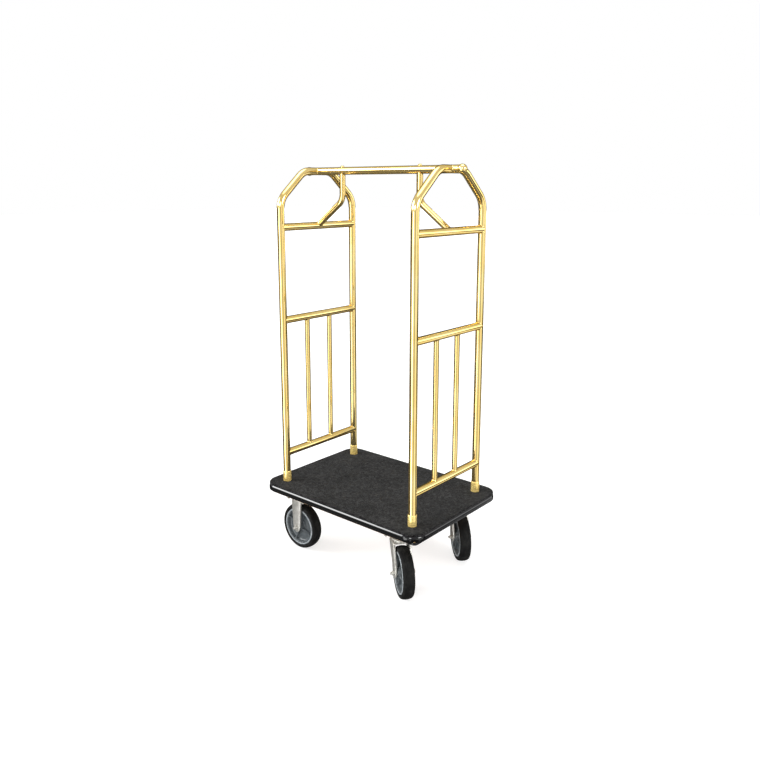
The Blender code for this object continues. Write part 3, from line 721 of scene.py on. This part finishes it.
# ---------------------------------------- deck
def deck():
    """The board's plywood, the carpet, the bumper with its lip and screw, and the carpet's raw edge, darkened as
    a painted shadow in the joint.
    """
    frame["nodes"]["deck_board"].data.materials.clear()
    frame["nodes"]["deck_board"].data.materials.append(PLYWOOD)
    half_x, half_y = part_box("deck_carpet")[1].x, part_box("deck_carpet")[1].y
    corner = DECK_CORNER - (BUMPER_HIGH.x - half_x)
    edge = ((0.0, -0.0072), (0.0, -0.0052), (0.0003, -0.0040), (0.0010, -0.0028), (0.0021, -0.0017),
            (0.0036, -0.0008), (0.0055, -0.0002))
    level = (0.0080, 0.016, 0.030, 0.055, 0.090, 0.130, 0.170, 0.210, 0.250, 0.285)
    rings = []
    for inset, dz in edge + tuple((inset, 0.0) for inset in level):
        ring = []
        for a, b in rounded_rect(half_x - inset, half_y - inset, max(corner - inset, 0.001), 14, 24):
            wave = PILE_WAVE * noise.noise(Vector((a * PILE_WAVE_SCALE, b * PILE_WAVE_SCALE, 2.0)))
            ring.append(Vector((a, b, DECK_Z - PILE_SINK + dz + wave)))
        rings.append(ring)
    under = [Vector((p.x, p.y, CARPET_LOW)) for p in rings[0]]
    shape = Shape()
    shape.add(*skin([under] + rings))
    carpet = make("carpet_sheet", shape, CARPET, "chassis", ["deck_carpet"], 60.0)

    out_x, out_y = BUMPER_HIGH.x, BUMPER_HIGH.y
    low, high = BUMPER_LOW.z, BUMPER_HIGH.z
    ledge = low + LIP_HEIGHT
    lip = [(0.0040, low), (0.0018, low + 0.0006), (0.0005, low + 0.0020), (0.0, low + 0.0040),
           (0.0, ledge - 0.0022), (0.0001, ledge - 0.0006), (0.0003, ledge)]
    wall = [(0.0003, ledge + 0.0003), (0.0001, ledge + 0.0010), (0.0, ledge + 0.0030), (0.0003, ledge + 0.0062),
            (0.0010, ledge + 0.0092), (0.0022, ledge + 0.0120), (0.0038, ledge + 0.0142), (0.0058, high - 0.0003),
            (0.0076, high - 0.0003)]
    rings = []
    for points, point_r in (([(0.0076, low)], DECK_CORNER), (lip, LIP_POINT_R), (wall, DECK_CORNER)):
        for inset, z in points:
            rings.append(rect_ring(z, out_x - inset, out_y - inset, DECK_CORNER - inset, 20, 12, point_r - inset))
    shape = Shape()
    shape.add(*skin(rings, closed=True))
    make("bumper_strip", shape, VINYL, "chassis", ["deck_bumper"], 50.0)
    # the carpet's raw edge along the bumper's top, dark as a painted shadow in the joint
    seam = Shape()
    loops = []
    for inset, z in ((0.0060, high - 0.0006), (0.0030, high - 0.0002), (0.0021, high + 0.0002),
                     (0.0024, high + 0.0008), (0.0060, high + 0.0008)):
        loops.append(rect_ring(z, out_x - inset, out_y - inset, DECK_CORNER - inset, 20, 12))
    seam.add(*skin(loops, closed=True))
    make("carpet_seam_edge", seam, PAINTED_SHADOW_SEAM, "chassis", [], 60.0)
    screw = Shape()
    reach = DECK_CORNER * CORNER_CUT - SCREW_OUT
    at = Vector((out_x - reach, -out_y + reach, ledge - 0.0002))
    head = [(0.0, 0.0), (0.0042, 0.0), (0.0040, 0.0008), (0.0030, 0.0016), (0.0012, 0.0020), (0.0, 0.0020)]
    screw.add(*lathe(head, 28, Z_AXIS, at))
    make("bumper_lip_screw", screw, DULL_BRASS, "chassis")


# ---------------------------------------- casters
FORK_OUT = 0.0370
WEB_T = 0.0036
FLANGE_T = 0.0034
FLANGE_DEPTH = 0.0088
FLANGE_START = 0.0030  # a flange shallower than this past the web is blended into it
CROWN_SHALLOWER = 0.0030
FULL_HALF = 0.012  # a channel with a smaller half width has its radii and flanges scaled down
FORK_END_R = 0.0198
RIGID_HALF, RIGID_BEND = 0.0275, 0.010
SWIVEL_HALF, SWIVEL_BEND = 0.0350, 0.012
CROWN_DROP = 0.0045
CROWN_T = 0.0050
BOLT_X, BOLT_Y = 0.0440, 0.0370
FLARE_BELOW, FLARE_SPAN = 0.004, 0.022  # the flanges deepen from just below the axle, over this height
RIB_TURN = 68.0


def place(origin, turn):
    """A caster's own frame: its place on the floor and its turn about the upright."""
    return Matrix.Translation(origin) @ Matrix.Rotation(turn, 4, "Z")


def channel(stations):
    """A pressed-steel channel; stations are (y, z, normal_y, normal_z, half_width, centre_x, depth)."""
    rings = []
    for y, z, ny, nz, w, cx, depth in stations:
        fit = min(1.0, w / FULL_HALF)
        t, r, f = WEB_T, 0.0028 * fit, 0.0016 * fit
        wall = FLANGE_T * fit
        d = max(depth, t + 0.0004)
        half = [(w, -d + 0.0008), (w, -r), (w - 0.16 * r, -0.55 * r), (w - 0.50 * r, -0.16 * r), (w - r, 0.0)]
        inner = [(w - wall - f, -t), (w - wall, -t - f * 0.6), (w - wall, -d + 0.0008), (w - wall * 0.72, -d),
                 (w - wall * 0.28, -d)]
        if d < t + FLANGE_START:
            blend = (d - t) / FLANGE_START
            inner = [(a, -t + (b + t) * blend) for a, b in inner]
        points = half + [(-u, v) for u, v in reversed(half)]
        points += [(-u, v) for u, v in reversed(inner)] + inner
        rings.append([Vector((cx + u, y + ny * v, z + nz * v)) for u, v in points])
    return skin(rings)


def fork_stations(crown_top, top_half, end_r, axle_x, bend):
    """Outer-face path of a U-shaped fork: up one leg, over the crown, down the other."""
    leg = []
    tip = WHEEL_R - end_r
    z_bend = crown_top - bend
    levels = [tip + end_r * (1.0 - math.cos(math.radians(a))) for a in (5, 14, 26, 40, 55, 72, 90)]
    levels += [WHEEL_R + (z_bend - WHEEL_R) * k / 10.0 for k in range(1, 11)]
    for z in levels:
        rise = min(max((z - WHEEL_R + FLARE_BELOW) / FLARE_SPAN, 0.0), 1.0)
        depth = WEB_T + (FLANGE_DEPTH - WEB_T) * rise * rise * (3.0 - 2.0 * rise)
        if z <= WHEEL_R:
            w = math.sqrt(max(end_r ** 2 - (WHEEL_R - z) ** 2, 1e-8))
            leg.append((z, w, axle_x, depth))
        else:
            t = (z - WHEEL_R) / (z_bend - WHEEL_R)
            leg.append((z, end_r + (top_half - end_r) * t, axle_x * (1.0 - t), depth))
    stations = [(-FORK_OUT, z, -1.0, 0.0, w, cx, d) for z, w, cx, d in leg]
    for k in range(1, 8):
        a = math.radians(90.0 * k / 8.0)
        stations.append((-FORK_OUT + bend - bend * math.cos(a), z_bend + bend * math.sin(a),
                         -math.cos(a), math.sin(a), top_half, 0.0, FLANGE_DEPTH - CROWN_SHALLOWER * k / 8.0))
    stations.append((-FORK_OUT + bend, crown_top, 0.0, 1.0, top_half, 0.0, FLANGE_DEPTH - CROWN_SHALLOWER))
    mirrored = [(-y, z, -ny, nz, w, cx, d) for y, z, ny, nz, w, cx, d in reversed(stations)]
    return stations + mirrored


def top_plate(shape, matrix):
    """A caster's mounting plate, its edges rounded over."""
    low, high, corner = PLATE_TOP - PLATE_T, PLATE_TOP, 0.009
    rings = []
    for inset, z in ((0.0012, low), (0.0004, low + 0.0003), (0.0, low + 0.0011), (0.0, high - 0.0009),
                     (0.0005, high - 0.0002), (0.0012, high)):
        rings.append(rect_ring(z, PLATE_X - inset, PLATE_Y - inset, corner - inset, 6))
    shape.add(*skin(rings), matrix)


def mounting_bolts(prefix, matrix, body):
    """Four carriage bolts with washers and nuts under a caster's top plate."""
    shape = Shape()
    for sx in (-1, 1):
        for sy in (-1, 1):
            at = matrix @ Vector((sx * BOLT_X, sy * BOLT_Y, PLATE_TOP - PLATE_T))
            washer = [(0.0, -0.0001), (0.0078, -0.0001), (0.0078, 0.0014), (0.0, 0.0014)]
            shape.add(*lathe(soften(washer, 0.0004, 2), 28, -Z_AXIS, at))
            hex_block(shape, at, -Z_AXIS, 0.0125, 0.0014, 0.0068, 0.0, 0.0009, 24)
            shank = [(0.0, 0.0066), (0.0039, 0.0066), (0.0039, 0.0096), (0.0032, 0.0102), (0.0, 0.0102)]
            shape.add(*lathe(shank, 20, -Z_AXIS, at))
    make(prefix + "_mounting_bolts", shape, ZINC, body)


def axle_set(prefix, matrix, centre, body):
    """Bushing, bolt and lock nut through the fork legs, along the wheel's axle."""
    axis = (matrix.to_3x3() @ Y_AXIS).normalized()
    at = matrix @ centre
    gap, out = FORK_OUT - WEB_T - 0.0002, FORK_OUT + 0.0003
    sleeve = Shape()
    profile = [(0.0052, -gap), (0.0086, -gap), (0.0086, gap), (0.0052, gap)]
    sleeve.add(*lathe(soften(profile, 0.0004, 2, True), 28, axis, at, True))
    for side in (-1.0, 1.0):
        spacer = [(0.0088, 0.0278), (0.0135, 0.0278), (0.0135, 0.0300), (0.0110, 0.0304), (0.0110, gap),
                  (0.0088, gap)]
        sleeve.add(*lathe(soften(spacer, 0.0004, 2, True), 32, axis * side, at, True))
    make(prefix + "_bushing_sleeve", sleeve, ZINC, body, [prefix + "_bushing"])
    bolt = Shape()
    hex_block(bolt, at, axis, 0.0165, out + 0.0016, out + 0.0084)
    washer = [(0.0, out - 0.0004), (0.0112, out - 0.0004), (0.0112, out + 0.0017), (0.0, out + 0.0017)]
    bolt.add(*lathe(soften(washer, 0.0004, 2), 32, axis, at))
    threads = [(0.0, -out), (0.0050, -out), (0.0050, out + 0.0095)]
    for k in range(5):
        h = out + 0.0097 + 0.0010 * k
        threads += [(0.0046, h), (0.0050, h + 0.0005)]
    threads += [(0.0040, out + 0.0160), (0.0, out + 0.0160)]
    bolt.add(*lathe(threads, 28, -axis, at))
    make(prefix + "_axle_bolt_hex", bolt, ZINC, body, [prefix + "_axle_bolt"])
    nut = Shape()
    hex_block(nut, at, -axis, 0.0163, out, out + 0.0075, 0.0051, 0.0010, 36)
    lock = [(0.0051, out + 0.0070), (0.0076, out + 0.0070), (0.0070, out + 0.0094), (0.0051, out + 0.0094)]
    nut.add(*lathe(soften(lock, 0.0006, 2, True), 32, -axis, at, True))
    make(prefix + "_axle_lock_nut", nut, ZINC, body, [prefix + "_axle_nut"])


def wheel(prefix, matrix, centre, body):
    """Moulded hub with ribs and a rim lip painted paler as a highlight, and a crowned tyre with two fine grooves.
    """
    local = matrix @ Matrix.Translation(centre)
    segs = 96
    tyre = [(0.0829, -0.0208), (0.0846, -0.0222), (0.0880, -0.0234), (0.0918, -0.0236), (0.0946, -0.0229),
            (0.0968, -0.0211), (0.0985, -0.0182), (0.0998, -0.0147), (0.1005, -0.0116), (0.0997, -0.0109),
            (0.0998, -0.0100), (0.1009, -0.0092), (0.1015, -0.0048)]
    tyre += [(r, -y) for r, y in reversed(tyre)]
    shape = Shape()
    shape.add(*lathe(soften(tyre, 0.0012, 2, True), segs, Y_AXIS, ORIGIN, True), local)
    make(prefix + "_tyre_tread", shape, RUBBER, body, [prefix + "_tyre"], 60.0)

    hub = Shape()
    bore, boss = 0.0090, 0.0190
    half = [(bore, -0.0276), (boss - 0.0026, -0.0276), (boss, -0.0262), (boss + 0.0020, -0.0100),
            (boss + 0.0045, -0.0070), (0.0460, -0.0058), (0.0630, -0.0062), (0.0684, -0.0088), (0.0710, -0.0190),
            (0.0720, -0.0206), (0.0734, -0.0212), (0.0806, -0.0212), (0.0820, -0.0208), (0.0826, -0.0200)]
    loop = half + [(r, -y) for r, y in reversed(half)]
    hub.add(*lathe(soften(loop, 0.0012, 2, True), segs, Y_AXIS, ORIGIN, True), local)
    lip = Shape()
    for side in (-1.0, 1.0):
        for k in range(4):
            rib(hub, local, side, math.radians(RIB_TURN + 90.0 * k))
        collar = [(0.0284, 0.0050), (0.0284, 0.0100), (0.0316, 0.0100), (0.0316, 0.0050)]
        hub.add(*lathe(soften(collar, 0.0006, 2, True), 64, Y_AXIS * side, ORIGIN, True), local)
        edge = [(0.0756, 0.0208), (0.0762, 0.0226), (0.0776, 0.0234), (0.0798, 0.0232), (0.0814, 0.0224),
                (0.0820, 0.0208)]
        lip.add(*lathe(soften(edge, 0.0008, 2, True), segs, Y_AXIS * side, ORIGIN, True), local)
    make(prefix + "_hub_moulding", hub, HUB, body, [prefix + "_hub"], 42.0)
    # the rim lip in its paler material: a painted highlight ring
    make(prefix + "_hub_rim_lip", lip, PAINTED_HIGHLIGHT_RIM, body, [], 50.0)


def rib(shape, matrix, side, turn):
    """One radial rib on a hub's face, from the boss to the rim."""
    rings = []
    for r, top, half in ((0.0175, 0.0230, 0.0032), (0.030, 0.0180, 0.0027), (0.043, 0.0160, 0.0025),
                         (0.058, 0.0168, 0.0026), (0.0716, 0.0206, 0.0032)):
        section = [(-half - 0.0008, 0.004), (-half, top - 0.0016), (-half + 0.0012, top), (half - 0.0012, top),
                   (half, top - 0.0016), (half + 0.0008, 0.004)]
        ring = []
        for across, y in section:
            px = r * math.cos(turn) - across * math.sin(turn)
            pz = r * math.sin(turn) + across * math.cos(turn)
            ring.append(Vector((px, side * y, pz)))
        rings.append(ring)
    shape.add(*skin(rings), matrix)


def rigid_caster(prefix):
    """A caster whose fork is one with its top plate."""
    j = JOINTS[prefix + "_spin"]["pos_m"]
    matrix = place(Vector((j[0], j[1], 0.0)), 0.0)
    fork = Shape()
    crown_top = PLATE_TOP - PLATE_T + 0.0002
    fork.add(*channel(fork_stations(crown_top, RIGID_HALF, FORK_END_R, 0.0, RIGID_BEND)), matrix)
    top_plate(fork, matrix)
    make(prefix + "_fork_steel", fork, ZINC, "chassis", [prefix + "_fork"])
    mounting_bolts(prefix, matrix, "chassis")
    centre = Vector((0.0, 0.0, WHEEL_R))
    axle_set(prefix, matrix, centre, "chassis")
    wheel(prefix, matrix, centre, prefix + "_wheel")


def swivel_caster(prefix):
    """A caster whose fork turns about its kingpin, under a plate with a domed upper race."""
    j = JOINTS[prefix + "_turn"]["pos_m"]
    s = JOINTS[prefix + "_spin"]["pos_m"]
    turn = math.atan2(s[1] - j[1], s[0] - j[0])
    trail = math.dist(s[:2], j[:2])
    fixed = place(Vector((j[0], j[1], 0.0)), 0.0)
    matrix = place(Vector((j[0], j[1], 0.0)), turn)
    race_low, race_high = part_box(prefix + "_race")[0].z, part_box(prefix + "_race")[1].z
    boss_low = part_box(prefix + "_plate")[0].z
    fork_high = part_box(prefix + "_fork")[1].z
    crown_top = fork_high - CROWN_DROP
    crown_low = crown_top - CROWN_T
    plate = Shape()
    top_plate(plate, fixed)
    under = PLATE_TOP - PLATE_T
    dome = [(0.0, under + 0.001), (0.0300, under + 0.001), (0.0316, under - 0.0006), (0.0330, under - 0.0040),
            (0.0330, boss_low + 0.0012), (0.0318, boss_low), (0.0, boss_low)]
    plate.add(*lathe(soften(dome, 0.0014, 3), 56, Z_AXIS, ORIGIN), fixed)
    make(prefix + "_plate_steel", plate, ZINC, "chassis", [prefix + "_plate"])
    ring = [(0.0086, race_low), (0.0345, race_low), (0.0362, race_low + 0.0008), (0.0370, race_low + 0.0025),
            (0.0362, race_high - 0.0008), (0.0345, race_high), (0.0086, race_high)]
    race = Shape()
    race.add(*lathe(soften(ring, 0.0006, 2, True), 56, Z_AXIS, ORIGIN, True), fixed)
    make(prefix + "_race_ring", race, ZINC, "chassis", [prefix + "_race"])
    pin = Shape()
    pin_low = crown_low - 0.0006
    pin_length = PLATE_TOP - 0.0003 - pin_low
    hex_block(pin, fixed @ Vector((0.0, 0.0, pin_low)), -Z_AXIS, 0.0235, 0.0, 0.0044, 0.0, 0.0010)
    shaft = [(0.0, 0.0), (0.0080, 0.0), (0.0080, pin_length), (0.0, pin_length)]
    pin.add(*lathe(shaft, 32, Z_AXIS, Vector((0.0, 0.0, pin_low))), fixed)
    make(prefix + "_kingpin_nut", pin, ZINC, "chassis", [prefix + "_kingpin"])
    mounting_bolts(prefix, fixed, "chassis")

    fork = Shape()
    fork.add(*channel(fork_stations(crown_top, SWIVEL_HALF, FORK_END_R, trail, SWIVEL_BEND)), matrix)
    cup = [(0.0090, crown_low + 0.0010), (0.0290, crown_low + 0.0030), (0.0320, crown_top - 0.0004),
           (0.0312, crown_top + 0.0012), (0.0310, fork_high - 0.0012), (0.0298, fork_high), (0.0090, fork_high)]
    fork.add(*lathe(soften(cup, 0.0010, 2, True), 56, Z_AXIS, ORIGIN, True), matrix)
    make(prefix + "_fork_steel", fork, ZINC, prefix, [prefix + "_fork"])
    centre = Vector((trail, 0.0, WHEEL_R))
    axle_set(prefix, matrix, centre, prefix)
    wheel(prefix, matrix, centre, prefix + "_wheel")


# ---------------------------------------- floor, light, camera
def floor():
    """A plain pale floor that glows a little, so that it stays near white."""
    mat, _, _, shader = new_material("studio_floor")
    shader.inputs["Roughness"].default_value = 0.9
    shader.inputs["Specular IOR Level"].default_value = 0.0
    shader.inputs["Base Color"].default_value = (FLOOR_TONE, FLOOR_TONE, FLOOR_TONE, 1.0)
    shader.inputs["Emission Color"].default_value = (1.0, 1.0, 1.0, 1.0)
    shader.inputs["Emission Strength"].default_value = FLOOR_GLOW
    mesh = bpy.data.meshes.new("floor")
    corners = [(sx * FLOOR_HALF, sy * FLOOR_HALF, 0.0) for sx, sy in ((-1, -1), (1, -1), (1, 1), (-1, 1))]
    mesh.from_pydata(corners, [], [(0, 1, 2, 3)])
    mesh.materials.append(mat)
    obj = bpy.data.objects.new("floor", mesh)
    bpy.context.scene.collection.objects.link(obj)
    obj.visible_glossy = False


def studio():
    """A pale studio: even walls, light strips and dark flags around the cart, fixed in the room."""
    world = bpy.data.worlds.new("studio")
    bpy.context.scene.world = world
    world.use_nodes = True
    nodes, links = world.node_tree.nodes, world.node_tree.links
    back = nodes["Background"]
    coord = nodes.new("ShaderNodeTexCoord")
    flat = nodes.new("ShaderNodeVectorMath")
    flat.operation = "MULTIPLY"
    flat.inputs[1].default_value = (1.0, 1.0, 0.0)
    links.new(coord.outputs["Generated"], flat.inputs[0])
    level = nodes.new("ShaderNodeVectorMath")
    level.operation = "NORMALIZE"
    links.new(flat.outputs["Vector"], level.inputs[0])
    height = nodes.new("ShaderNodeSeparateXYZ")
    links.new(coord.outputs["Generated"], height.inputs["Vector"])

    def toward(degrees):
        a = math.radians(degrees - VIEW_SIDE)
        return (math.cos(a), math.sin(a), 0.0)

    def strip(degrees, inner, outer, strength, low, high):
        dot = nodes.new("ShaderNodeVectorMath")
        dot.operation = "DOT_PRODUCT"
        dot.inputs[1].default_value = toward(degrees)
        links.new(level.outputs["Vector"], dot.inputs[0])
        value = remap(nodes, links, dot.outputs["Value"], math.cos(math.radians(outer)),
                      math.cos(math.radians(inner)), 0.0, strength, True)
        rise = remap(nodes, links, height.outputs["Z"], low - SOFT_END, low + SOFT_END, 0.0, 1.0, True)
        value = math_node(nodes, links, "MULTIPLY", value, rise)
        fall = remap(nodes, links, height.outputs["Z"], high - SOFT_END, high + SOFT_END, 1.0, 0.0, True)
        return math_node(nodes, links, "MULTIPLY", value, fall)

    total = None
    for entry in STRIPS:
        part = strip(*entry)
        total = part if total is None else math_node(nodes, links, "ADD", total, part)
    total = math_node(nodes, links, "ADD", total, WALL)
    for levels in (LAMP, FLOOR_SIDE):
        total = math_node(nodes, links, "ADD", total, remap(nodes, links, height.outputs["Z"], *levels, True))
    total = math_node(nodes, links, "MAXIMUM", total, DARKEST)
    links.new(total, back.inputs["Strength"])
    back.inputs["Color"].default_value = (1.0, 1.0, 1.0, 1.0)
    white = nodes.new("ShaderNodeBackground")
    white.inputs["Color"].default_value = (1.0, 1.0, 1.0, 1.0)
    white.inputs["Strength"].default_value = 1.0
    # what the view sees past the floor's edge is plain white
    path = nodes.new("ShaderNodeLightPath")
    mix = nodes.new("ShaderNodeMixShader")
    links.new(path.outputs["Is Camera Ray"], mix.inputs[0])
    links.new(back.outputs["Background"], mix.inputs[1])
    links.new(white.outputs["Background"], mix.inputs[2])
    links.new(mix.outputs["Shader"], nodes["World Output"].inputs["Surface"])
    bpy.context.scene.view_settings.view_transform = "Standard"
    bpy.context.scene.view_settings.look = "None"


def camera():
    """The view from the front right, from just under the height of the rail."""
    data = bpy.data.cameras.new("camera")
    data.sensor_width = 36.0
    data.lens = CAMERA_LENS
    data.shift_y = CAMERA_SHIFT
    data.clip_end = 200.0
    obj = bpy.data.objects.new("camera", data)
    obj.location = CAMERA_AT
    obj.rotation_euler = (math.radians(90.0 - CAMERA_DOWN), 0.0, math.radians(CAMERA_YAW))
    bpy.context.scene.collection.objects.link(obj)
    bpy.context.scene.camera = obj


end_frame("left", -FRAME_X, 20.0)
end_frame("right", FRAME_X, 40.0)
rail_parts()
deck()
rigid_caster("rigid_near")
rigid_caster("rigid_far")
swivel_caster("swivel_near")
swivel_caster("swivel_far")
floor()
studio()
camera()
